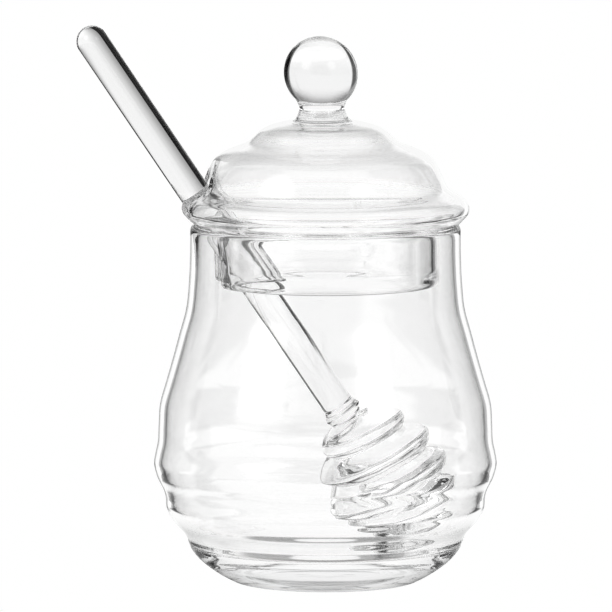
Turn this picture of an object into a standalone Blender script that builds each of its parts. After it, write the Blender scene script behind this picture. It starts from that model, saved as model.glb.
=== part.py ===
"""A blown glass honey jar, its domed lid and a glass honey dipper, at real size in metres, +Z up.

The origin is the centre of the jar's flat base, on the jar's axis. The front faces -Y.
The dipper leans out to -X through a notch pressed into the lid, and its ridged head lies
low in the jar on the +X side. The three pieces only rest on each other.
"""

import math

import bmesh
import bpy
from mathutils import Matrix, Vector

MM = 0.001

# Sizes of the jar.
BASE_RADIUS = 24.7 * MM
JAR_HEIGHT = 93.4 * MM
NECK_RADIUS = 35.4 * MM
WALL = 2.1 * MM
RIM_ROUND = 1.05 * MM
FLOOR_HEIGHT = 5.5 * MM
# The outer wall from the foot to the neck, as height and radius: three soft ridges low
# down, at 9, 19 and 31 mm, then the shoulder narrowing to the neck.
JAR_WALL = (
    (1.9, 28.2),
    (4.9, 32.4),
    (8.0, 35.2),
    (10.3, 36.2),
    (12.7, 37.4),
    (15.7, 40.1),
    (18.9, 41.7),
    (21.8, 42.0),
    (24.2, 42.7),
    (27.2, 44.2),
    (30.6, 45.0),
    (33.6, 44.6),
    (36.6, 44.0),
    (41.0, 43.8),
    (46.5, 43.4),
    (52.6, 41.7),
    (58.9, 39.9),
    (65.2, 38.2),
    (71.6, 36.5),
    (78.5, 35.8),
    (85.0, 35.5),
)
# The inside, from the lowest ridge to the middle of the floor.
JAR_INSIDE_FOOT = ((9.2, 32.9), (7.4, 29.6), (6.4, 25.0), (5.8, 15.0))

# Sizes of the lid. It rests on the jar's rim, with a small gap.
REST_GAP = 0.3 * MM
KNOB_HEIGHT = 133.4 * MM
KNOB_RADIUS = 9.7 * MM
NECK_WAIST = (124.2, 5.8)
# The outside from under the knob to the flange's lower edge, as height and radius.
LID_TOP = (
    (121.3, 7.2),
    (120.6, 10.4),
    (119.7, 13.8),
    (118.4, 16.4),
    (116.8, 18.2),
    (115.2, 20.2),
    (113.6, 24.2),
    (112.1, 27.2),
    (110.2, 29.2),
    (106.6, 31.0),
    (103.6, 32.2),
    (102.2, 33.6),
    (100.7, 36.1),
    (98.7, 37.5),
    (96.8, 37.5),
    (95.2, 36.3),
)
FLANGE_REST = (34.6, 32.4)
SKIRT_RADIUS = 29.8 * MM
SKIRT_WALL = 2.0 * MM
SKIRT_BOTTOM = 78.0 * MM
# The dome and the hollow flange are one thin blown wall; the neck under the knob is solid.
DOME_WALL = 1.5 * MM
# The inside between the skirt and the flange's hollow.
SKIRT_TO_FLANGE = ((91.0, 27.8), (93.0, 28.3), (94.6, 29.6))
# Above this height the lid leans a little to -X, by this share of the height gained.
LEAN_START = 98.0 * MM
LEAN = 0.035

# Sizes of the dipper, and how it lies: its axis crosses the jar's axis at DIPPER_CROSSING,
# slopes down to +X and is turned a little about +Z, so that its top end comes forward.
ROD_RADIUS = 4.1 * MM
DIPPER_CROSSING = 50.8 * MM
DIPPER_SLOPE = math.radians(56.2)
DIPPER_TURN = math.radians(8.0)
ROD_TOP = 110.2 * MM
COLLAR_PLACE = 8.2 * MM
COLLAR_SWELL = 0.9 * MM
HEAD_CENTRE = 30.0 * MM
HEAD_HALF_LENGTH = 21.0 * MM
HEAD_RADIUS = 16.8 * MM
RIDGE_PITCH = 8.1 * MM
RIDGE_DEPTH = 3.9 * MM

# The notch: a trough pressed into the lid round the dipper's rod.
NOTCH_ROOM = 0.9 * MM
NOTCH_WALL = 2.0 * MM
NOTCH_REACH = 60.0 * MM
NOTCH_TOP = 100.0 * MM
SKIN = 0.1 * MM

# How finely round shapes are divided.
JAR_SIDES = 44
LID_SIDES = 40
DIPPER_SIDES = 24
RING_STEPS = 6
NOTCH_SIDES = 12
HEAD_RINGS = 36

GLASS_COLOUR = (0.92, 0.94, 0.94, 1.0)
GLASS_ROUGHNESS = 0.03
CREASE_ANGLE = math.radians(40)


def clear_scene():
    for thing in list(bpy.data.objects):
        bpy.data.objects.remove(thing, do_unlink=True)


def glass(name):
    material = bpy.data.materials.new(name)
    material.use_nodes = True
    shader = material.node_tree.nodes["Principled BSDF"]
    shader.inputs["Base Color"].default_value = GLASS_COLOUR
    shader.inputs["Roughness"].default_value = GLASS_ROUGHNESS
    shader.inputs["Metallic"].default_value = 0.0
    material.diffuse_color = GLASS_COLOUR
    return material


def outline(rows):
    """Outline points (radius, height) in metres from rows of height and radius in mm."""
    return [Vector((radius, height)) * MM for height, radius in rows]


def arc(centre, radius, start, end, steps):
    """Points on a circle in an outline's plane; the angles are in degrees from +radius."""
    angles = [math.radians(start + (end - start) * step / steps) for step in range(steps + 1)]
    return [Vector(centre) + radius * Vector((math.cos(a), math.sin(a))) for a in angles]


def offset(curve, distance):
    """The curve moved sideways to its left by a distance, for a wall's other face."""
    moved = []
    for before, point, after in zip(curve, curve[1:], curve[2:]):
        along = (after - before).normalized()
        moved.append(point + distance * Vector((-along.y, along.x)))
    return moved


def turned(profile, sides):
    """A mesh turned round the Z axis from a profile that starts and ends on the axis."""
    mesh = bmesh.new()
    rings = []
    for radius, height in profile:
        if radius < 1e-7:
            rings.append([mesh.verts.new((0.0, 0.0, height))])
            continue
        turns = [2 * math.pi * side / sides for side in range(sides)]
        rings.append([mesh.verts.new((radius * math.cos(a), radius * math.sin(a), height)) for a in turns])
    join_rings(mesh, rings, sides)
    return mesh


def join_rings(mesh, rings, sides):
    """Faces between neighbouring rings; a ring of one point is a pole."""
    for upper, lower in zip(rings, rings[1:]):
        for side in range(sides):
            ahead = (side + 1) % sides
            if len(upper) == 1:
                mesh.faces.new((upper[0], lower[side], lower[ahead]))
            elif len(lower) == 1:
                mesh.faces.new((upper[side], lower[0], upper[ahead]))
            else:
                mesh.faces.new((upper[side], lower[side], lower[ahead], upper[ahead]))


def add_object(name, mesh, material=None):
    """Turns a bmesh into a named object with its faces pointing out."""
    bmesh.ops.recalc_face_normals(mesh, faces=mesh.faces)
    data = bpy.data.meshes.new(name)
    mesh.to_mesh(data)
    mesh.free()
    made = bpy.data.objects.new(name, data)
    bpy.context.scene.collection.objects.link(made)
    if material:
        data.materials.append(material)
        data.shade_smooth()
        data.set_sharp_from_angle(angle=CREASE_ANGLE)
    return made


def jar_profile():
    """From the middle of the base, up the outside, over the rim and down the inside."""
    neck_top = Vector((NECK_RADIUS, JAR_HEIGHT - RIM_ROUND))
    outside = [Vector((BASE_RADIUS, 0)), *outline(JAR_WALL), neck_top]
    rim_centre = Vector((NECK_RADIUS - RIM_ROUND, JAR_HEIGHT - RIM_ROUND))
    rim = arc(rim_centre, RIM_ROUND, 0, 180, RING_STEPS)
    foot = outline(JAR_INSIDE_FOOT)
    inside = [point for point in offset(outside, WALL) if point.y > foot[0].y + WALL]
    inside.reverse()
    floor_middle = Vector((0, FLOOR_HEIGHT))
    return [Vector((0, 0)), *outside[:-1], *rim, *inside[1:], *foot, floor_middle]


def lid_outside():
    """From the top of the knob down the outside to the outer foot of the skirt."""
    waist = Vector((NECK_WAIST[1], NECK_WAIST[0])) * MM
    sag = math.degrees(math.acos((waist.x + 0.4 * MM) / KNOB_RADIUS))
    knob = arc((0, KNOB_HEIGHT), KNOB_RADIUS, 90, -sag, 2 * RING_STEPS)
    rest = JAR_HEIGHT + REST_GAP
    flange_rest = [Vector((radius * MM, rest)) for radius in FLANGE_REST]
    corner = Vector((SKIRT_RADIUS + 0.7 * MM, rest - 0.5 * MM))
    skirt_top = Vector((SKIRT_RADIUS, rest - 2.2 * MM))
    return [*knob, waist, *outline(LID_TOP), *flange_rest, corner, skirt_top]


def lid_profile():
    """The whole wall of the lid: down the outside, round the skirt's foot and up the inside."""
    round_off = SKIRT_WALL / 2
    foot_centre = (SKIRT_RADIUS - round_off, SKIRT_BOTTOM + round_off)
    foot = arc(foot_centre, round_off, 0, -180, RING_STEPS)
    outside = lid_outside()
    first = outside.index(outline(LID_TOP)[0])
    dome_inside = offset(outside[first:-1], -DOME_WALL)
    dome_inside.reverse()
    inside = [*outline(SKIRT_TO_FLANGE), *dome_inside[1:]]
    top_middle = Vector((0, inside[-1].y))
    return [*outside, *foot, *inside, top_middle]


def lid_envelope_profile():
    """The lid's outside drawn in a little and closed straight across at the skirt's foot.

    The trough's walls end just inside the lid's skin, so that no two faces coincide.
    """
    round_off = SKIRT_WALL / 2
    corner = arc((SKIRT_RADIUS - round_off, SKIRT_BOTTOM + round_off), round_off, 0, -90, 3)
    drawn_in = [Vector((max(0.0, p.x - SKIN), p.y - SKIN)) for p in lid_outside()]
    drawn_in += [Vector((p.x - SKIN, p.y + SKIN)) for p in corner]
    return [*drawn_in, Vector((0, SKIRT_BOTTOM + SKIN))]


def dipper_frame():
    """Places a shape modelled along +Z so that +Z runs down the dipper's rod.

    Its +X then points up and inward, away from the side on which the rod rests.
    """
    across, down = math.cos(DIPPER_SLOPE), math.sin(DIPPER_SLOPE)
    along = Vector((across, 0, -down))
    inward = Vector((down, 0, across))
    sideways = along.cross(inward)
    axes = Matrix((inward, sideways, along)).transposed().to_4x4()
    turn = Matrix.Rotation(DIPPER_TURN, 4, "Z")
    return Matrix.Translation((0, 0, DIPPER_CROSSING)) @ turn @ axes


def notch_solid(name, radius):
    """A long slot shape round the rod: a half circle on its inner side, open outward."""
    turns = [math.pi * (step / NOTCH_SIDES - 0.5) for step in range(NOTCH_SIDES + 1)]
    section = [(radius * math.cos(a), radius * math.sin(a)) for a in turns]
    section += [(-NOTCH_REACH, radius), (-NOTCH_REACH, -radius)]
    mesh = bmesh.new()
    ends = [[mesh.verts.new((x, y, z)) for x, y in section] for z in (-NOTCH_TOP, 0.0)]
    mesh.faces.new(ends[0])
    mesh.faces.new(ends[1])
    join_rings(mesh, ends, len(section))
    made = add_object(name, mesh)
    made.matrix_world = dipper_frame()
    made.data.transform(made.matrix_world)
    made.matrix_world = Matrix.Identity(4)
    return made


def combine(target, tool, operation, solver="EXACT"):
    """Applies a Boolean of a tool on a target, and removes the tool."""
    boolean = target.modifiers.new(operation.title(), "BOOLEAN")
    boolean.operation = operation
    boolean.solver = solver
    boolean.object = tool
    bpy.context.view_layer.update()
    evaluated = target.evaluated_get(bpy.context.evaluated_depsgraph_get())
    data = bpy.data.meshes.new_from_object(evaluated)
    target.modifiers.clear()
    target.data = data
    bpy.data.objects.remove(tool, do_unlink=True)


def lean(lid):
    """Leans the part of the lid above the flange, knob and all, a little to one side."""
    for corner in lid.data.vertices:
        corner.co.x -= LEAN * max(0.0, corner.co.z - LEAN_START)


def make_jar():
    return add_object("jar", turned(jar_profile(), JAR_SIDES), glass("jar glass"))


def make_lid():
    """The turned lid with a trough added round the rod and the rod's channel cut out."""
    lid = add_object("lid", turned(lid_profile(), LID_SIDES), glass("lid glass"))
    trough = add_object("trough", turned(lid_envelope_profile(), LID_SIDES))
    lean(lid)
    lean(trough)
    channel_radius = ROD_RADIUS + NOTCH_ROOM
    combine(trough, notch_solid("trough outside", channel_radius + NOTCH_WALL), "INTERSECT")
    combine(lid, trough, "UNION")
    # The exact solver leaves this last cut open, so it is made by the manifold one.
    combine(lid, notch_solid("channel", channel_radius), "DIFFERENCE", "MANIFOLD")
    lid.data.shade_smooth()
    lid.data.set_sharp_from_angle(angle=CREASE_ANGLE)
    return lid


def head_radius(place, turn):
    """The dipper head's radius: an egg with one ridge winding round it."""
    reach = (place - HEAD_CENTRE) / HEAD_HALF_LENGTH
    egg = HEAD_RADIUS * math.sqrt(max(0.0, 1.0 - reach**2))
    phase = place / RIDGE_PITCH + turn / (2 * math.pi)
    groove = 1.0 - abs(math.cos(math.pi * phase)) ** 0.8
    depth = min(RIDGE_DEPTH, 0.4 * egg)
    return egg - depth * groove


def dipper_mesh():
    """Rings down the dipper: the rounded top end, the rod, its collar and the ridged head."""
    round_end = arc((0, -ROD_TOP), ROD_RADIUS, -90, 0, 3)
    rows = [(point.y, point.x) for point in round_end]
    rows[0] = (-ROD_TOP - ROD_RADIUS, 0.0)
    head_start = HEAD_CENTRE - HEAD_HALF_LENGTH
    swell = COLLAR_SWELL
    rows += [
        (COLLAR_PLACE - 3 * swell, ROD_RADIUS),
        (COLLAR_PLACE - swell, ROD_RADIUS + 0.8 * swell),
        (COLLAR_PLACE, ROD_RADIUS + swell),
    ]
    mesh = bmesh.new()
    rings = []
    turns = [2 * math.pi * side / DIPPER_SIDES for side in range(DIPPER_SIDES)]
    for place, radius in rows:
        if radius < 1e-7:
            rings.append([mesh.verts.new((0, 0, place))])
        else:
            rings.append([mesh.verts.new((radius * math.cos(a), radius * math.sin(a), place)) for a in turns])
    for ring in range(1, HEAD_RINGS):
        # Rings stand closer together towards the two ends, where the egg curves most.
        place = HEAD_CENTRE - HEAD_HALF_LENGTH * math.cos(math.pi * ring / HEAD_RINGS)
        if place < head_start + swell:
            continue
        radii = [max(head_radius(place, a), ROD_RADIUS if place < HEAD_CENTRE else 0.0) for a in turns]
        corners = [(r * math.cos(a), r * math.sin(a), place) for r, a in zip(radii, turns)]
        rings.append([mesh.verts.new(corner) for corner in corners])
    rings.append([mesh.verts.new((0, 0, HEAD_CENTRE + HEAD_HALF_LENGTH))])
    join_rings(mesh, rings, DIPPER_SIDES)
    mesh.transform(dipper_frame())
    return mesh


def make_dipper():
    return add_object("dipper", dipper_mesh(), glass("dipper glass"))


def main():
    clear_scene()
    make_jar()
    make_lid()
    make_dipper()


main()
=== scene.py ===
"""Looks of the blown glass honey jar: clear glass jar, domed lid and ridged dipper, in metres."""

import math

import bmesh
import bpy
import numpy as np
from mathutils import Matrix, Vector


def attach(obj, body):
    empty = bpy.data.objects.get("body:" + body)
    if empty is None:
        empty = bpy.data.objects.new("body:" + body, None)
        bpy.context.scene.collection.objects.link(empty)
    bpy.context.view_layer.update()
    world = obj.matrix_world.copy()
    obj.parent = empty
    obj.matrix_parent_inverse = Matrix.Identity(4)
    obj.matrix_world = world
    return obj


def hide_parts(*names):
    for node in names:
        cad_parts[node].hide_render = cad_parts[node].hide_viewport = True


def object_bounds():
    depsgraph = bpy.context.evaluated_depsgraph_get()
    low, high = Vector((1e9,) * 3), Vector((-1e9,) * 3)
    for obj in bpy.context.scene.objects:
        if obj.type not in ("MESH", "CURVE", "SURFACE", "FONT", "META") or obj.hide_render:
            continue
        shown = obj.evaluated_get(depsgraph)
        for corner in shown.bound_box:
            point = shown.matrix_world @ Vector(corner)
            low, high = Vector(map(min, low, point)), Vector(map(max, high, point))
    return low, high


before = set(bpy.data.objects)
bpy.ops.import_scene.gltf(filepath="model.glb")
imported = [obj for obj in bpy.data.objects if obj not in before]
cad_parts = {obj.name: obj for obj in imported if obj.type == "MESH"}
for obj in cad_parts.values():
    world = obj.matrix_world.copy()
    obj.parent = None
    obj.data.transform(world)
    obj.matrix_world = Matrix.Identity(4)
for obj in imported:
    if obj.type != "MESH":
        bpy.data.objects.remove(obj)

CAD_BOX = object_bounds()
MM = 0.001

# Points closer than MERGE become one, and a smaller radius than ON_AXIS is on the axis.
MERGE = 0.01 * MM
ON_AXIS = 1e-7

# The jar as in the solids. The rows of its outer wall give height and radius in mm, and so do
# those of the inside, down from the wall to the floor.
BASE_RADIUS = 24.7 * MM
BASE_SHARES = (0, 0.4, 0.8)
JAR_HEIGHT = 93.4 * MM
NECK_RADIUS = 35.4 * MM
WALL = 2.1 * MM
RIM_ROUND = 1.05 * MM
FLOOR_HEIGHT = 5.5 * MM
JAR_WALL = (
    (1.9, 28.2),
    (4.9, 32.4),
    (8.0, 35.2),
    (10.3, 36.2),
    (12.7, 37.4),
    (15.7, 40.1),
    (18.9, 41.7),
    (21.8, 42.0),
    (24.2, 42.7),
    (27.2, 44.2),
    (30.6, 45.0),
    (33.6, 44.6),
    (36.6, 44.0),
    (41.0, 43.8),
    (46.5, 43.4),
    (52.6, 41.7),
    (58.9, 39.9),
    (65.2, 38.2),
    (71.6, 36.5),
    (78.5, 35.8),
    (85.0, 35.5),
)
JAR_INSIDE_FOOT = ((9.2, 32.9), (7.4, 29.6), (6.4, 25.0), (5.8, 15.0))

# The lid: its rows give height and radius in mm, from under the knob down to the flange, and
# up the inside from the skirt to the flange.
REST_GAP = 0.3 * MM
KNOB_HEIGHT = 133.4 * MM
KNOB_RADIUS = 9.7 * MM
NECK_WAIST = (124.2, 5.8)
KNOB_OVER_WAIST = 0.4 * MM
LID_TOP = (
    (121.3, 7.2),
    (120.6, 10.4),
    (119.7, 13.8),
    (118.4, 16.4),
    (116.8, 18.2),
    (115.2, 20.2),
    (113.6, 24.2),
    (112.1, 27.2),
    (110.2, 29.2),
    (106.6, 31.0),
    (103.6, 32.2),
    (102.2, 33.6),
    (100.7, 36.1),
    (98.7, 37.5),
    (96.8, 37.5),
    (95.2, 36.3),
)
FLANGE_REST = (34.6, 32.4)
SKIRT_RADIUS = 29.8 * MM
SKIRT_WALL = 2.0 * MM
SKIRT_BOTTOM = 78.0 * MM
SKIRT_CORNER_OUT = 0.7 * MM
SKIRT_CORNER_DOWN = 0.5 * MM
SKIRT_START_DOWN = 2.2 * MM
SKIRT_TO_FLANGE = ((91.0, 27.8), (93.0, 28.3), (94.6, 29.6))
FOOT_ROUND = 1.25 * MM
DOME_WALL = 1.5 * MM
LEAN = 0.035
LEAN_START = 98.0 * MM

# The bead at the skirt's foot ends at BEAD_END of the way up its inside. A point of the dome's
# inside is left out where the wall would be thinner than LEAST_WALL of the dome's. Between
# the heights of WALL_CHANGE the dome's wall goes over into the skirt's.
BEAD_END = 0.2
LEAST_WALL = 0.97
WALL_CHANGE = (95 * MM, 90 * MM)

# The notch: room round the rod, how far it widens downward, and how steep its walls stand.
NOTCH_ROOM = 0.9 * MM
NOTCH_FLARE = 1.2 * MM
NOTCH_FLARE_HEIGHTS = (98 * MM, 80 * MM)
NOTCH_STEEP = 8.0
NOTCH_FOOT_STEEP = 4.0
NOTCH_STEEP_HEIGHTS = (95 * MM, 85 * MM)
NOTCH_SHOULDER = 5.0 * MM

# The dipper and how it lies.
ROD_RADIUS = 4.1 * MM
DIPPER_CROSSING = 50.8 * MM
DIPPER_SLOPE = math.radians(56.2)
DIPPER_TURN = math.radians(8.0)
ROD_TOP = 110.2 * MM
COLLAR_PLACE = 8.2 * MM
COLLAR_SWELL = 0.9 * MM
COLLAR_WIDTH = 1.2 * MM
COLLAR_REACH = 4 * COLLAR_SWELL
HEAD_CENTRE = 30.0 * MM
HEAD_HALF_LENGTH = 21.0 * MM
HEAD_RADIUS = 16.8 * MM
RIDGE_PITCH = 8.1 * MM
RIDGE_DEPTH = 3.9 * MM
RIDGE_SHARE = 0.4
RIDGE_ROUNDNESS = 0.8
STREAKS = 3
STREAK_DEPTH = 0.05 * MM
STREAK_FULL_RADIUS = 5 * MM

# How finely the glass is modelled. The rings of the dipper head stand closer at its ends.
JAR_SIDES = 160
WALL_STEPS = 8
ROUND_STEPS = 16
LID_STEPS = 6
KNOB_STEPS = 40
SKIRT_STEPS = 16
FOOT_STEPS = 10
DIPPER_SIDES = 112
ROD_RINGS = 60
HEAD_RINGS = 300
RING_CROWDING = 0.06

# Angles round the lid from the middle of the notch, in degrees: start, end and step.
LID_TURN_STEPS = ((0, 6, 1.0), (6, 24, 0.3), (24, 180, 2.0))

# The camera, far away with a long lens and a little above the jar, and how it sees.
CAMERA_DISTANCE = 1.9
CAMERA_RISE = math.radians(6.6)
CAMERA_AIM = Vector((-5.1, 0.0, 72.1)) * MM
VIEW_WIDTH = 160.6 * MM
SENSOR = 36.0
CAMERA_CLIP = (0.05, 50.0)
LIGHT_BOUNCES = 64
VIEW_GAMMA = 0.6

# The clear glass, and white.
GLASS_INDEX = 1.47
GLASS_TINT = (0.995, 0.995, 0.995, 1.0)
WHITE = (1.0, 1.0, 1.0, 1.0)

# The studio's boards, in metres.
FLOOR_REACH = 6.0
TABLE_HEIGHT = -0.001
BACKDROP_PLACE = 0.1
BACKDROP_REACH = 0.6
BACKDROP_TOP = 0.8

# Light on the boards that shine through the glass. A fade gives where it starts and ends in
# metres, and the value before and after it: a brightness, or from 0 to 1 how far a card, a
# ring of painted shadow or a strip is there. CARDS_END gives how far out the cards reach, low
# down and high up, and the right card's core fades to the brightness that its foot gives.
RIGHT_CARD = (0.087, 0.094, 1.0, 0.40)
RIGHT_CARD_CORE = (0.104, 0.114, 1.0)
RIGHT_CARD_FOOT = (0.0, 0.05, 0.3, 0.0)
RIGHT_CARD_TOP = (0.24, 0.30, 1.0, 0.0)
LEFT_CARD = (-0.087, -0.096, 1.0, 0.36)
LEFT_CARD_CORE = (-0.098, -0.108, 1.0, 0.45)
LEFT_CARD_TOP = (0.16, 0.20, 1.0, 0.0)
CARDS_END = (0.0, 0.075, 0.22, 0.45)
CARDS_END_FADE = (0.0, 0.03, 1.0, 0.0)
BACKDROP_MIDDLE = (0.095, 0.120, 1.02, 0.97)
BACKDROP_HIGH = (0.150, 0.205, 1.0, 0.5)
TABLE_FRONT = (-0.06, -0.02, 1.0, 0.0)
TABLE_STRIP = (0.062, 0.078, 1.0, 0.1)
TABLE_NEAR_CAMERA = (-1.0, -0.85, 0.1, 1.0)
# Painted shadow of the jar's base on the table: a grey ring under the base.
BASE_SHADOW_INSIDE = (0.0085, 0.0105, 0.0, 0.7)
BASE_SHADOW_OUTSIDE = (0.020, 0.025, 1.0, 0.0)

# Light on the boards that the glass only mirrors, as fades again. A card, a strip or a ring
# of them is a place from which less light comes. The ring is painted shadow of the jar on
# the table.
MIRRORED_WHITE = 0.97
EDGE_STRIP_INSIDE = (0.036, 0.044, 0.0, 0.5)
EDGE_STRIP_OUTSIDE = (0.066, 0.080, 1.0, 0.0)
EDGE_STRIP_TOP = (0.080, 0.090, 1.0, 0.0)
DARK_CARDS_END = (0.16, 0.20, 1.0, 0.0)
KNOB_CARD_SIDE = (-0.040, -0.052, 0.0, 1.0)
KNOB_CARD_FOOT = (0.085, 0.118, 0.0, 0.95)
HIGH_CARD_FOOT = (0.156, 0.178, 0.0, 0.6)
# Painted shadow of the jar on the mirrored table: grey close round the jar.
MIRRORED_SHADOW_RING = (0.035, 0.075, 0.3, MIRRORED_WHITE)

# The cards behind the free end of the rod: name, start and end across the rod, and whether
# the glass mirrors the card as well.
ROD_CARDS = (("rod_card", -0.035, 0.006, True), ("rod_card_end", -0.1, -0.035, False))
ROD_CARD_LENGTH = (-0.014, 0.036)
ROD_CARD_PLACE = (-0.0420, 0.03, 0.1096)
ROD_CARD_TILT = -math.radians(34.0)
ROD_CARD_SHADE = (-0.0180, 0.0060, 0.5, 0.98)
ROD_CARD_EDGE = (-0.0185, -0.0170, 0.0, 1.0)

# The room, dimmer on the camera's side: outer and inner edge of the dim part, in degrees. Then
# its windows: each one's turn from the camera, rise and half width in degrees, and brightness.
# A window is full up to WINDOW_CORE of its half width and ends at WINDOW_EDGE of it.
ROOM_BRIGHTNESS = 0.8
ROOM_GLOW = 0.98
CAMERA_SIDE_GLOW = 0.3
CAMERA_SIDE_ANGLES = (36.0, 24.0)
WINDOWS = ((-51.0, 27.0, 15.0, 1.8), (39.0, 27.0, 12.0, 1.4))
WINDOW_CORE = 0.6
WINDOW_EDGE = 1.3


class Value:
    """One socket of a shader. Reckoning with it adds Math nodes to the shader."""

    def __init__(self, graph, socket):
        self.graph = graph
        self.socket = socket

    def math(self, operation, first, second=0.0):
        """The result of a new Math node."""
        made = self.graph.node("ShaderNodeMath", {"operation": operation}, {0: first, 1: second})
        return made["Value"]

    def __add__(self, other):
        return self.math("ADD", self, other)

    def __sub__(self, other):
        return self.math("SUBTRACT", self, other)

    def __rsub__(self, other):
        return self.math("SUBTRACT", other, self)

    def __mul__(self, other):
        return self.math("MULTIPLY", self, other)

    def __abs__(self):
        return self.math("ABSOLUTE", self)

    __radd__ = __add__
    __rmul__ = __mul__


class Graph:
    """The node tree of one material or of the world."""

    def __init__(self, owner):
        owner.use_nodes = True
        self.tree = owner.node_tree
        self.tree.nodes.clear()

    def node(self, kind, settings=None, values=None):
        """Adds a node, sets it up, fills its sockets, and gives its outputs by name."""
        made = self.tree.nodes.new(kind)
        for name, setting in (settings or {}).items():
            setattr(made, name, setting)
        for name, value in (values or {}).items():
            socket = made.inputs[name]
            if isinstance(value, Value):
                self.tree.links.new(value.socket, socket)
            else:
                socket.default_value = value
        return {output.name: Value(self, output) for output in made.outputs if output.enabled}

    def split(self, vector):
        """The x, y and z of a vector."""
        parts = self.node("ShaderNodeSeparateXYZ", {}, {"Vector": vector})
        return parts["X"], parts["Y"], parts["Z"]

    def length(self, vector):
        """How long a vector is."""
        return self.node("ShaderNodeVectorMath", {"operation": "LENGTH"}, {0: vector})["Value"]

    def dot(self, first, second):
        """The dot product of two vectors."""
        made = self.node("ShaderNodeVectorMath", {"operation": "DOT_PRODUCT"}, {0: first, 1: second})
        return made["Value"]

    def place(self):
        """Where on the object the shaded point lies, in metres."""
        return self.node("ShaderNodeTexCoord")["Object"]


def smooth_curve(points, steps):
    """The points and, between each two, steps - 1 more on a Catmull-Rom curve through them."""
    ends = [2 * points[0] - points[1], *points, 2 * points[-1] - points[-2]]
    curve = []
    for before, start, end, after in zip(ends, ends[1:], ends[2:], ends[3:]):
        for step in range(steps):
            t = step / steps
            curve.append(
                0.5
                * (
                    2 * start
                    + (end - before) * t
                    + (2 * before - 5 * start + 4 * end - after) * t**2
                    + (3 * start - before - 3 * end + after) * t**3
                )
            )
    return [*curve, points[-1]]


def outline(rows):
    """Outline points (radius, height) in metres from rows of height and radius in mm."""
    return [Vector((radius, height)) * MM for height, radius in rows]


def arc(centre, radius, start, end, steps):
    """Points on a circle in an outline's plane; the angles are in degrees from +radius."""
    angles = [math.radians(start + (end - start) * step / steps) for step in range(steps + 1)]
    return [Vector(centre) + radius * Vector((math.cos(a), math.sin(a))) for a in angles]


def offset(curve, distance):
    """The curve moved sideways to its left by a distance, for a wall's other face."""
    moved = []
    for before, point, after in zip(curve, curve[1:], curve[2:]):
        along = (after - before).normalized()
        moved.append(point + distance * Vector((-along.y, along.x)))
    return moved


def mesh_object(name, points, faces, material, node):
    """A smooth mesh that stands for a node of the frame."""
    data = bpy.data.meshes.new(name)
    inside_box = np.clip(np.array([tuple(p) for p in points]), *CAD_BOX)
    data.from_pydata(inside_box.tolist(), [], [tuple(f) for f in faces])
    mesh = bmesh.new()
    mesh.from_mesh(data)
    bmesh.ops.remove_doubles(mesh, verts=mesh.verts, dist=MERGE)
    bmesh.ops.recalc_face_normals(mesh, faces=mesh.faces)
    mesh.to_mesh(data)
    mesh.free()
    data.shade_smooth()
    data.materials.append(material)
    made = bpy.data.objects.new(name, data)
    bpy.context.scene.collection.objects.link(made)
    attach(made, "root")
    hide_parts(node)


def ring_faces(rings, sides):
    """Quads between rings of the same number of points, and fans to a ring of one point."""
    faces = []
    for upper, lower in zip(rings, rings[1:]):
        for side in range(sides):
            ahead = (side + 1) % sides
            if len(upper) == 1:
                faces.append((upper[0], lower[side], lower[ahead]))
            elif len(lower) == 1:
                faces.append((upper[side], lower[0], upper[ahead]))
            else:
                faces.append((upper[side], lower[side], lower[ahead], upper[ahead]))
    return faces


def even_turns(sides):
    """The angles of evenly spaced points round a circle."""
    return [2 * math.pi * side / sides for side in range(sides)]


def turned(profile, turns):
    """Points and faces of a shape turned round the Z axis from an outline."""
    points = []
    rings = []
    for radius, height in profile:
        ring_turns = turns if radius > ON_AXIS else [0.0]
        rings.append(range(len(points), len(points) + len(ring_turns)))
        points += [(radius * math.cos(a), radius * math.sin(a), height) for a in ring_turns]
    return points, ring_faces(rings, len(turns))


def jar_profile():
    """From the middle of the base, up the outside, over the rim and down the inside."""
    neck_top = Vector((NECK_RADIUS, JAR_HEIGHT - RIM_ROUND))
    base = [Vector((BASE_RADIUS * share, 0)) for share in BASE_SHARES]
    outside = smooth_curve([Vector((BASE_RADIUS, 0)), *outline(JAR_WALL), neck_top], WALL_STEPS)
    rim_centre = Vector((NECK_RADIUS - RIM_ROUND, JAR_HEIGHT - RIM_ROUND))
    rim = arc(rim_centre, RIM_ROUND, 0, 180, ROUND_STEPS)
    foot = outline(JAR_INSIDE_FOOT)
    inside = [point for point in offset(outside, WALL) if point.y > foot[0].y + WALL]
    inside.reverse()
    foot_curve = smooth_curve([inside[-1], *foot, Vector((0, FLOOR_HEIGHT))], WALL_STEPS)
    return [*base, *outside[:-1], *rim, *inside[1:-1], *foot_curve]


def lid_outside():
    """Down the outside of the knob, and from the neck to where the skirt begins."""
    waist = Vector((NECK_WAIST[1], NECK_WAIST[0])) * MM
    sag = math.degrees(math.acos((waist.x + KNOB_OVER_WAIST) / KNOB_RADIUS))
    knob = arc((0, KNOB_HEIGHT), KNOB_RADIUS, 90, -sag, KNOB_STEPS)
    rest = JAR_HEIGHT + REST_GAP
    flange_rest = [Vector((radius * MM, rest)) for radius in FLANGE_REST]
    corner = Vector((SKIRT_RADIUS + SKIRT_CORNER_OUT, rest - SKIRT_CORNER_DOWN))
    skirt_top = Vector((SKIRT_RADIUS, rest - SKIRT_START_DOWN))
    return knob, [waist, *outline(LID_TOP), *flange_rest, corner, skirt_top]


def run(start, end, steps):
    """Evenly spaced points from start up to, but not including, end."""
    return [start.lerp(end, step / steps) for step in range(steps)]


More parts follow.
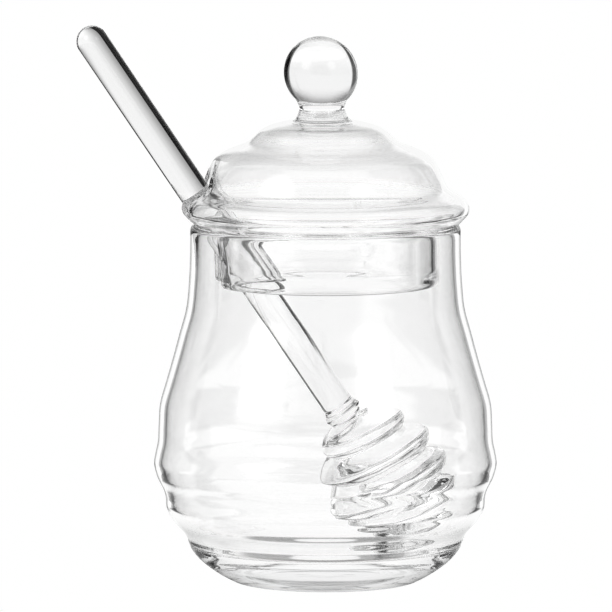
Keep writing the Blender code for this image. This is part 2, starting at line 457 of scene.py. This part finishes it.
def lid_profile():
    """The lid's wall, down its outside, round the skirt's foot and up its inside, and how far
    through the wall each point lies: 0 outside, 1 inside."""
    knob, corners = lid_outside()
    outside = smooth_curve(corners, LID_STEPS)
    foot_height = SKIRT_BOTTOM + FOOT_ROUND
    foot_top = Vector((SKIRT_RADIUS, foot_height))
    skirt = run(outside[-1], foot_top, SKIRT_STEPS)
    foot = arc((SKIRT_RADIUS - FOOT_ROUND, foot_height), FOOT_ROUND, 0, -180, FOOT_STEPS)
    # The dome's inside follows the outside from under the neck to the inner end of the rest.
    first = LID_STEPS
    last = LID_STEPS * (len(corners) - 3) + 1
    shell = [
        point
        for point in offset(outside[first:last], -DOME_WALL)
        if min((point - other).length for other in outside) > LEAST_WALL * DOME_WALL
    ]
    shell.reverse()
    rise = outline(SKIRT_TO_FLANGE)
    bead_top = Vector((SKIRT_RADIUS - SKIRT_WALL, foot_height + 2 * FOOT_ROUND))
    bead_end = bead_top.lerp(rise[0], BEAD_END)
    bead = smooth_curve([foot[-2], foot[-1], bead_top, bead_end], LID_STEPS)
    skirt_inside = [*bead[LID_STEPS:-1], *run(bead[-1], rise[0], SKIRT_STEPS)]
    inside = [*skirt_inside[1:], *smooth_curve([*rise, shell[0]], LID_STEPS)[:-1], *shell]
    down = [*knob[:-1], *outside[:-1], *skirt]
    profile = [*down, *foot, *inside, Vector((0, inside[-1].y))]
    foot_share = [step / FOOT_STEPS for step in range(FOOT_STEPS + 1)]
    through = [0.0] * len(down) + foot_share + [1.0] * (len(inside) + 1)
    return profile, through


def lid_turns():
    """Angles round the lid, closest together where the walls of the notch stand."""
    half = [a for start, end, step in LID_TURN_STEPS for a in np.arange(start, end, step)]
    angles = [*half, *(-a for a in half[:0:-1]), 180.0]
    middle = math.pi + DIPPER_TURN
    return sorted(middle + math.radians(a) for a in angles)


def blend_near(first, second, reach):
    """The smaller of two distances, rounded off where they are within reach of each other."""
    share = np.clip(0.5 + 0.5 * (second - first) / reach, 0, 1)
    return second + (first - second) * share - reach * share * (1 - share)


def fade(values, start, end):
    """Goes smoothly from 0 to 1 while the values go from start to end."""
    share = np.clip((values - start) / (end - start), 0, 1)
    return share * share * (3 - 2 * share)


def dented(points, through):
    """Leans the lid, and pushes its wall level inward out of the channel where the rod lies."""
    points = np.array(points)
    height = points[:, 2]
    points[:, 0] -= LEAN * np.maximum(height - LEAN_START, 0)
    # Along the rod's own axes, x runs inward from the rod's middle, and y runs across the rod.
    to_rod = np.array(dipper_frame().inverted())
    local = points @ to_rod[:3, :3].T + to_rod[:3, 3]
    wall = DOME_WALL + (SKIRT_WALL - DOME_WALL) * fade(height, *WALL_CHANGE)
    radius = ROD_RADIUS + NOTCH_ROOM + wall * through
    across = np.maximum(np.abs(local[:, 1]) - NOTCH_FLARE * fade(height, *NOTCH_FLARE_HEIGHTS), 0)
    steep = NOTCH_STEEP + (NOTCH_FOOT_STEEP - NOTCH_STEEP) * fade(height, *NOTCH_STEEP_HEIGHTS)
    # The channel is round as far as side, where it goes over into its straight, steep walls.
    side = radius * steep / np.hypot(1, steep)
    round_end = np.sqrt(radius**2 - np.minimum(across, side) ** 2)
    channel = round_end - steep * np.maximum(across - side, 0)
    inward = -blend_near(-local[:, 0], -channel, NOTCH_SHOULDER)
    push = (inward - local[:, 0]) / math.sin(DIPPER_SLOPE)
    points[:, 0] += push * math.cos(DIPPER_TURN)
    points[:, 1] += push * math.sin(DIPPER_TURN)
    return points


def lid_shape():
    """The lid turned from its outline, with the notch pushed into it."""
    profile, through = lid_profile()
    turns = lid_turns()
    points, faces = turned(profile, turns)
    counts = [len(turns) if point.x > ON_AXIS else 1 for point in profile]
    return dented(points, np.repeat(through, counts)), faces


def dipper_frame():
    """Places a shape modelled along +Z so that +Z runs down the dipper's rod."""
    across, down = math.cos(DIPPER_SLOPE), math.sin(DIPPER_SLOPE)
    along = Vector((across, 0, -down))
    inward = Vector((down, 0, across))
    axes = Matrix((inward, along.cross(inward), along)).transposed().to_4x4()
    turn = Matrix.Rotation(DIPPER_TURN, 4, "Z")
    return Matrix.Translation((0, 0, DIPPER_CROSSING)) @ turn @ axes


def head_radius(place, turn):
    """The dipper head's radius: an egg with one ridge winding round it."""
    reach = (place - HEAD_CENTRE) / HEAD_HALF_LENGTH
    egg = HEAD_RADIUS * math.sqrt(max(0.0, 1.0 - reach**2))
    phase = place / RIDGE_PITCH + turn / (2 * math.pi)
    groove = 1.0 - abs(math.cos(math.pi * phase)) ** RIDGE_ROUNDNESS
    depth = min(RIDGE_DEPTH, RIDGE_SHARE * egg)
    streak = STREAK_DEPTH * math.cos(2 * math.pi * STREAKS * phase)
    return egg - depth * groove + streak * min(1.0, egg / STREAK_FULL_RADIUS)


def collar_radius(place):
    """The rod's radius where it swells into the collar above the head."""
    return ROD_RADIUS + COLLAR_SWELL * math.exp(-(((place - COLLAR_PLACE) / COLLAR_WIDTH) ** 2))


def dipper_shape():
    """Rings down the dipper: the rounded top end, the rod, its collar and the ridged head."""
    turns = even_turns(DIPPER_SIDES)
    round_end = arc((0, -ROD_TOP), ROD_RADIUS, -90, 0, ROUND_STEPS)[1:]
    rows = [(p.y, [p.x] * DIPPER_SIDES) for p in round_end]
    rod_end = COLLAR_PLACE - COLLAR_REACH
    for ring in range(1, ROD_RINGS + 1):
        place = -ROD_TOP + (rod_end + ROD_TOP) * ring / ROD_RINGS
        rows.append((place, [ROD_RADIUS] * DIPPER_SIDES))
    head_start = HEAD_CENTRE - HEAD_HALF_LENGTH
    head_end = HEAD_CENTRE + HEAD_HALF_LENGTH
    for ring in range(1, HEAD_RINGS):
        share = ring / HEAD_RINGS
        crowded = share + RING_CROWDING * math.sin(2 * math.pi * share) / math.pi
        place = rod_end + (head_end - rod_end) * crowded
        collar = collar_radius(place)
        radii = []
        for turn in turns:
            head = head_radius(place, turn) if place > head_start else 0.0
            radii.append(max(head, collar) if place < HEAD_CENTRE else head)
        rows.append((place, radii))
    points = [(0, 0, -ROD_TOP - ROD_RADIUS)]
    rings = [[0]]
    for place, radii in rows:
        rings.append(range(len(points), len(points) + DIPPER_SIDES))
        points += [(r * math.cos(a), r * math.sin(a), place) for r, a in zip(radii, turns)]
    rings.append([len(points)])
    points.append((0, 0, head_end))
    place_in_jar = dipper_frame()
    return [place_in_jar @ Vector(p) for p in points], ring_faces(rings, DIPPER_SIDES)


def clear_glass(name):
    """Clear glass with a hardly visible unevenness of its tone."""
    material = bpy.data.materials.new(name)
    graph = Graph(material)
    waves = graph.node("ShaderNodeTexNoise", {}, {"Vector": graph.place(), "Scale": 60.0, "Detail": 1.0})
    tint = graph.node(
        "ShaderNodeMix",
        {"data_type": "RGBA"},
        {"Factor": waves["Fac"], "A": GLASS_TINT, "B": WHITE},
    )
    finish = {"Roughness": 0.0, "IOR": GLASS_INDEX, "Transmission Weight": 1.0}
    glass = graph.node("ShaderNodeBsdfPrincipled", {}, {"Base Color": tint["Result"], **finish})
    graph.node("ShaderNodeOutputMaterial", {}, {"Surface": glass["BSDF"]})
    return material


def smooth_step(graph, place, start, end, before, after):
    """A value that goes smoothly from before to after while place goes from start to end."""
    settings = {"interpolation_type": "SMOOTHSTEP"}
    names = {"Value": place, "From Min": start, "From Max": end, "To Min": before, "To Max": after}
    return graph.node("ShaderNodeMapRange", settings, names)["Result"]


def lit(name, colour):
    """A surface that glows in the colour, or as bright as, colour(graph) gives."""
    material = bpy.data.materials.new(name)
    graph = Graph(material)
    light = graph.node("ShaderNodeEmission", {}, {"Color": colour(graph)})
    graph.node("ShaderNodeOutputMaterial", {}, {"Surface": light["Emission"]})
    return material


def side_cards(graph, x, z):
    """How much light the dark cards beside the backdrop leave: the left one is grey, the right
    one black but for its foot. Both end further out, the sooner the lower."""
    foot = smooth_step(graph, z, *RIGHT_CARD_FOOT)
    right = smooth_step(graph, x, *RIGHT_CARD) * smooth_step(graph, x, *RIGHT_CARD_CORE, foot)
    right = 1.0 - (1.0 - right) * smooth_step(graph, z, *RIGHT_CARD_TOP)
    left = smooth_step(graph, x, *LEFT_CARD) * smooth_step(graph, x, *LEFT_CARD_CORE)
    left = 1.0 - (1.0 - left) * smooth_step(graph, z, *LEFT_CARD_TOP)
    end = smooth_step(graph, z, *CARDS_END)
    near = smooth_step(graph, abs(x) - end, *CARDS_END_FADE)
    return 1.0 - (1.0 - right * left) * near


def backdrop_light(graph):
    """White above the table, a little less so behind the knob, and darker high up."""
    x, _, z = graph.split(graph.place())
    height = smooth_step(graph, z, *BACKDROP_MIDDLE) * smooth_step(graph, z, *BACKDROP_HIGH)
    return side_cards(graph, x, z) * height


def table_light(graph):
    """White in front of the jar, and black beyond a strip on which the jar stands; a grey
    ring of painted shadow under the base, and dark far out on the camera's side."""
    place = graph.place()
    x, y, z = graph.split(place)
    radius = graph.length(place)
    front = smooth_step(graph, y, *TABLE_FRONT)
    strip = smooth_step(graph, abs(x), *TABLE_STRIP)
    # The ring is painted shadow of the jar's base: grey on the table under it.
    ring = smooth_step(graph, radius, *BASE_SHADOW_INSIDE)
    ring = ring * smooth_step(graph, radius, *BASE_SHADOW_OUTSIDE)
    light = front + (1.0 - front) * side_cards(graph, x, z) * strip
    return light * (1.0 - ring) * smooth_step(graph, y, *TABLE_NEAR_CAMERA)


def mirrored_backdrop_light(graph):
    """White, with a grey strip on each side that draws the jar's edge, and dark high up and
    to the left of the knob."""
    x, _, z = graph.split(graph.place())
    strip = smooth_step(graph, abs(x), *EDGE_STRIP_INSIDE)
    strip = strip * smooth_step(graph, abs(x), *EDGE_STRIP_OUTSIDE)
    light = MIRRORED_WHITE - strip * smooth_step(graph, z, *EDGE_STRIP_TOP)
    end = smooth_step(graph, abs(x), *DARK_CARDS_END)
    knob_card = smooth_step(graph, x, *KNOB_CARD_SIDE) * smooth_step(graph, z, *KNOB_CARD_FOOT)
    high_card = smooth_step(graph, z, *HIGH_CARD_FOOT)
    return light * (1.0 - knob_card * end) * (1.0 - high_card * end)


def mirrored_table_light(graph):
    """White, and grey close round the jar: painted shadow of the jar on the table, which the
    undersides of its ridges and its base mirror.
    """
    return smooth_step(graph, graph.length(graph.place()), *MIRRORED_SHADOW_RING)


def rod_card_light(graph):
    """A card behind the free end of the rod, shading off to black on its lower left side."""
    across, _, _ = graph.split(graph.place())
    return smooth_step(graph, across, *ROD_CARD_SHADE) * smooth_step(graph, across, *ROD_CARD_EDGE)


def rectangle(left, right, low, high):
    """The corners of a rectangle, in order round it."""
    return [(left, low), (right, low), (right, high), (left, high)]


def studio_board(name, corners, material, seen=False):
    """A flat board of the studio round the jar, off the picture unless it is to be seen."""
    data = bpy.data.meshes.new(name)
    data.from_pydata(corners, [], [range(len(corners))])
    data.materials.append(material)
    made = bpy.data.objects.new(name, data)
    bpy.context.scene.collection.objects.link(made)
    made.visible_camera = seen
    return made


def build_glass():
    """The jar, its lid and its dipper, each of one clear glass."""
    points, faces = turned(jar_profile(), even_turns(JAR_SIDES))
    mesh_object("jar_glass_body", points, faces, clear_glass("jar glass"), "jar")
    points, faces = lid_shape()
    mesh_object("lid_glass_body", points, faces, clear_glass("lid glass"), "lid")
    points, faces = dipper_shape()
    mesh_object("dipper_glass_body", points, faces, clear_glass("dipper glass"), "dipper")


def build_boards():
    """The white floor that is seen, the table and backdrop that shine through the glass, and
    the ones that the glass only mirrors."""
    level = rectangle(-FLOOR_REACH, FLOOR_REACH, -FLOOR_REACH, FLOOR_REACH)
    upright = rectangle(-BACKDROP_REACH, BACKDROP_REACH, 0, BACKDROP_TOP)
    floor = [(x, y, 0) for x, y in level]
    table = [(x, y, TABLE_HEIGHT) for x, y in level]
    backdrop = [(x, BACKDROP_PLACE, z) for x, z in upright]
    ground = studio_board("floor", floor, lit("pale floor", lambda graph: WHITE), seen=True)
    ground.visible_transmission = False
    ground.visible_glossy = False
    for name, corners, light, mirrored in (
        ("table", table, table_light, False),
        ("backdrop", backdrop, backdrop_light, False),
        ("mirrored_table", table, mirrored_table_light, True),
        ("mirrored_backdrop", backdrop, mirrored_backdrop_light, True),
    ):
        board = studio_board(name, corners, lit(name, light))
        board.visible_glossy = mirrored
        board.visible_transmission = not mirrored


def build_rod_cards():
    """The card that shades the free end of the rod, and its black end."""
    for name, start, end, mirrored in ROD_CARDS:
        corners = [(x, 0, z) for x, z in rectangle(start, end, *ROD_CARD_LENGTH)]
        card = studio_board(name, corners, lit(name, rod_card_light))
        card.location = ROD_CARD_PLACE
        card.rotation_euler = (0, ROD_CARD_TILT, 0)
        card.visible_glossy = mirrored


def cosine(angle):
    """The cosine of an angle in degrees."""
    return math.cos(math.radians(angle))


def build_room():
    """An even room, dimmer on the camera's side, with two soft windows in front of the jar."""
    world = bpy.data.worlds.new("dim room with two windows")
    bpy.context.scene.world = world
    graph = Graph(world)
    direction = graph.node("ShaderNodeTexCoord")["Generated"]
    camera_side = graph.dot(direction, (0, -1, 0))
    outer, inner = (cosine(angle) for angle in CAMERA_SIDE_ANGLES)
    glow = smooth_step(graph, camera_side, outer, inner, ROOM_GLOW, CAMERA_SIDE_GLOW)
    for side, rise, width, brightness in WINDOWS:
        turn = math.radians(side)
        level = cosine(rise)
        towards = (math.sin(turn) * level, -math.cos(turn) * level, math.sin(math.radians(rise)))
        facing = graph.dot(direction, towards)
        outer, inner = cosine(WINDOW_EDGE * width), cosine(WINDOW_CORE * width)
        glow = smooth_step(graph, facing, outer, inner, 0.0, brightness) + glow
    sky = graph.node("ShaderNodeBackground", {}, {"Color": glow, "Strength": ROOM_BRIGHTNESS})
    graph.node("ShaderNodeOutputWorld", {}, {"Surface": sky["Background"]})


def build_camera():
    """The camera at the photograph's viewing angle."""
    data = bpy.data.cameras.new("camera")
    data.sensor_width = SENSOR
    data.lens = SENSOR * CAMERA_DISTANCE / VIEW_WIDTH
    data.clip_start, data.clip_end = CAMERA_CLIP
    camera = bpy.data.objects.new("camera", data)
    bpy.context.scene.collection.objects.link(camera)
    back = Vector((0, -math.cos(CAMERA_RISE), math.sin(CAMERA_RISE)))
    camera.location = CAMERA_AIM + CAMERA_DISTANCE * back
    camera.rotation_euler = back.to_track_quat("Z", "Y").to_euler()
    bpy.context.scene.camera = camera


def set_view():
    """Deeper blacks, and enough bounces for light to pass every wall of the glass pieces."""
    scene = bpy.context.scene
    scene.view_settings.view_transform = "Standard"
    scene.view_settings.gamma = VIEW_GAMMA
    scene.cycles.max_bounces = LIGHT_BOUNCES
    scene.cycles.transmission_bounces = LIGHT_BOUNCES
    scene.cycles.glossy_bounces = LIGHT_BOUNCES
    scene.cycles.use_denoising = True


build_glass()
build_boards()
build_rod_cards()
build_room()
build_camera()
set_view()
